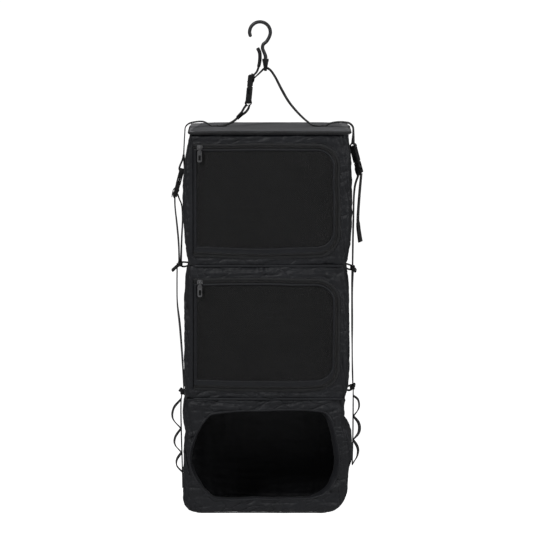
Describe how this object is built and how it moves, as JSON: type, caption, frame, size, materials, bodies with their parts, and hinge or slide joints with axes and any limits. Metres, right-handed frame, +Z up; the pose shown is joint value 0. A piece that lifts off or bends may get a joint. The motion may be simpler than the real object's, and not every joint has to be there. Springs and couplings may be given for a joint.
{
  "type": "packing cube",
  "caption": "Hanging packing cube organiser with stiffened lid and shelves, zipped mesh doors, an open bottom pocket, side compression straps and a swivel hook.",
  "frame": {"origin": "inside top of the hook, where the rod it hangs on bears", "axes": "+Z up, -Y out of the front where the doors are, +X to the right as seen from the front"},
  "size_m": [0.3843, 0.1924, 0.9812],
  "materials": {
    "nylon_cloth": "crinkled ripstop-weight nylon, faint sheen",
    "lid_cloth": "coated grey nylon, soft sheen",
    "mesh_net": "fine diamond net, see-through between its yarns",
    "zip_tape": "woven tape with moulded coil",
    "webbing": "flat woven polyester webbing",
    "buckle_plastic": "moulded, satin",
    "hook_plastic": "moulded, satin",
    "zip_metal": "gunmetal plating, satin",
    "stiffener_board": "plain sheet"
  },
  "bodies": {
    "hook": {"hook": "hook_plastic"},
    "lid_section": {"swivel_yoke": "buckle_plastic", "hanger_strap_right": "webbing", "hanger_strap_left": "webbing", "hanger_strap_tail": "webbing", "hanger_tri_glide": "buckle_plastic", "hanger_buckle_prongs": "buckle_plastic", "lid_cover": "lid_cloth", "lid_board": "stiffener_board", "lid_lining": "nylon_cloth", "lid_binding": "lid_cloth", "upper_back_panel": "nylon_cloth", "upper_left_side": "nylon_cloth", "upper_right_side": "nylon_cloth", "upper_front_frame": "nylon_cloth", "upper_zip_tape": "zip_tape", "left_lid_strap": "webbing", "right_lid_strap": "webbing"},
    "hanger_socket": {"hanger_buckle_socket": "buckle_plastic"},
    "upper_door": {"upper_door_border": "nylon_cloth", "upper_door_net": "mesh_net"},
    "upper_slider": {"upper_zip_slider": "zip_metal"},
    "upper_puller": {"upper_zip_puller": "zip_metal"},
    "upper_shelf": {"upper_shelf_sleeve": "nylon_cloth", "upper_shelf_board": "stiffener_board", "middle_back_panel": "nylon_cloth", "middle_left_side": "nylon_cloth", "middle_right_side": "nylon_cloth", "middle_front_frame": "nylon_cloth", "middle_zip_tape": "zip_tape", "left_upper_keeper": "webbing", "right_upper_keeper": "webbing", "left_middle_strap": "webbing", "right_middle_strap": "webbing"},
    "middle_door": {"middle_door_border": "nylon_cloth", "middle_door_net": "mesh_net"},
    "middle_slider": {"middle_zip_slider": "zip_metal"},
    "middle_puller": {"middle_zip_puller": "zip_metal"},
    "lower_shelf": {"lower_shelf_sleeve": "nylon_cloth", "lower_shelf_board": "stiffener_board", "lower_back_panel": "nylon_cloth", "lower_left_side": "nylon_cloth", "lower_right_side": "nylon_cloth", "lower_front_frame": "nylon_cloth", "lower_opening_hem": "nylon_cloth", "left_lower_keeper": "webbing", "right_lower_keeper": "webbing", "left_daisy_chain": "webbing", "right_daisy_chain": "webbing"},
    "base": {"base_sleeve": "nylon_cloth", "base_board": "stiffener_board"},
    "left_buckle": {"left_buckle_socket": "buckle_plastic"},
    "left_prongs": {"left_buckle_prongs": "buckle_plastic", "left_main_strand": "webbing", "left_strap_tail": "webbing"},
    "right_buckle": {"right_buckle_socket": "buckle_plastic"},
    "right_prongs": {"right_buckle_prongs": "buckle_plastic", "right_main_strand": "webbing", "right_strap_tail": "webbing"}
  },
  "joints": [
    {"name": "hook_swivel", "type": "hinge", "parent": "hook", "child": "lid_section", "pos_m": [0.01, 0, -0.07], "axis": [0, 0, 1], "continuous": true},
    {"name": "upper_fold", "type": "slide", "parent": "lid_section", "child": "upper_shelf", "axis": [0, 0, 1], "range_m": [0, 0.1844], "deforming": ["upper_back_panel", "upper_left_side", "upper_right_side", "upper_front_frame", "upper_zip_tape", "upper_door_border", "upper_door_net", "left_lid_strap", "right_lid_strap", "left_main_strand", "left_strap_tail", "right_main_strand"]},
    {"name": "middle_fold", "type": "slide", "parent": "upper_shelf", "child": "lower_shelf", "axis": [0, 0, 1], "range_m": [0, 0.1834], "deforming": ["middle_back_panel", "middle_left_side", "middle_right_side", "middle_front_frame", "middle_zip_tape", "middle_door_border", "middle_door_net", "left_middle_strap", "right_middle_strap"]},
    {"name": "lower_fold", "type": "slide", "parent": "lower_shelf", "child": "base", "axis": [0, 0, 1], "range_m": [0, 0.163], "deforming": ["lower_back_panel", "lower_left_side", "lower_right_side", "lower_front_frame", "lower_opening_hem", "left_daisy_chain", "right_daisy_chain"]},
    {"name": "hanger_buckle_release", "type": "slide", "parent": "lid_section", "child": "hanger_socket", "axis": [-0.0949, 0, -0.9955], "range_m": [0, 0.018], "deforming": ["hanger_strap_left"]},
    {"name": "upper_door_swing", "type": "hinge", "parent": "lid_section", "child": "upper_door", "pos_m": [-0.133, -0.08925, -0.2383], "axis": [0, 0, -1], "range_deg": [0, 120]},
    {"name": "upper_zip_slide", "type": "slide", "parent": "upper_door", "child": "upper_slider", "axis": [1, 0, 0], "range_m": [0, 0.21]},
    {"name": "upper_puller_swing", "type": "hinge", "parent": "upper_slider", "child": "upper_puller", "pos_m": [-0.12, -0.09485, -0.2383], "axis": [-1, 0, 0], "range_deg": [0, 150]},
    {"name": "middle_door_swing", "type": "hinge", "parent": "upper_shelf", "child": "middle_door", "pos_m": [-0.133, -0.08925, -0.50665], "axis": [0, 0, -1], "range_deg": [0, 120]},
    {"name": "middle_zip_slide", "type": "slide", "parent": "middle_door", "child": "middle_slider", "axis": [1, 0, 0], "range_m": [0, 0.21]},
    {"name": "middle_puller_swing", "type": "hinge", "parent": "middle_slider", "child": "middle_puller", "pos_m": [-0.12, -0.09485, -0.50665], "axis": [-1, 0, 0], "range_deg": [0, 150]},
    {"name": "left_buckle_rise", "type": "slide", "parent": "lid_section", "child": "left_buckle", "axis": [0, 0, 1], "range_m": [0, 0.081]},
    {"name": "left_buckle_release", "type": "slide", "parent": "left_buckle", "child": "left_prongs", "axis": [-0.2571, 0, -0.9664], "range_m": [0, 0.018]},
    {"name": "right_buckle_rise", "type": "slide", "parent": "lid_section", "child": "right_buckle", "axis": [0, 0, 1], "range_m": [0, 0.0247]},
    {"name": "right_buckle_release", "type": "slide", "parent": "right_buckle", "child": "right_prongs", "axis": [0.2571, 0, -0.9664], "range_m": [0, 0.018]}
  ],
  "couplings": [
    {"joint": "left_buckle_rise", "follows": "upper_fold", "ratio": 0.43},
    {"joint": "right_buckle_rise", "follows": "upper_fold", "ratio": 0.13}
  ]
}
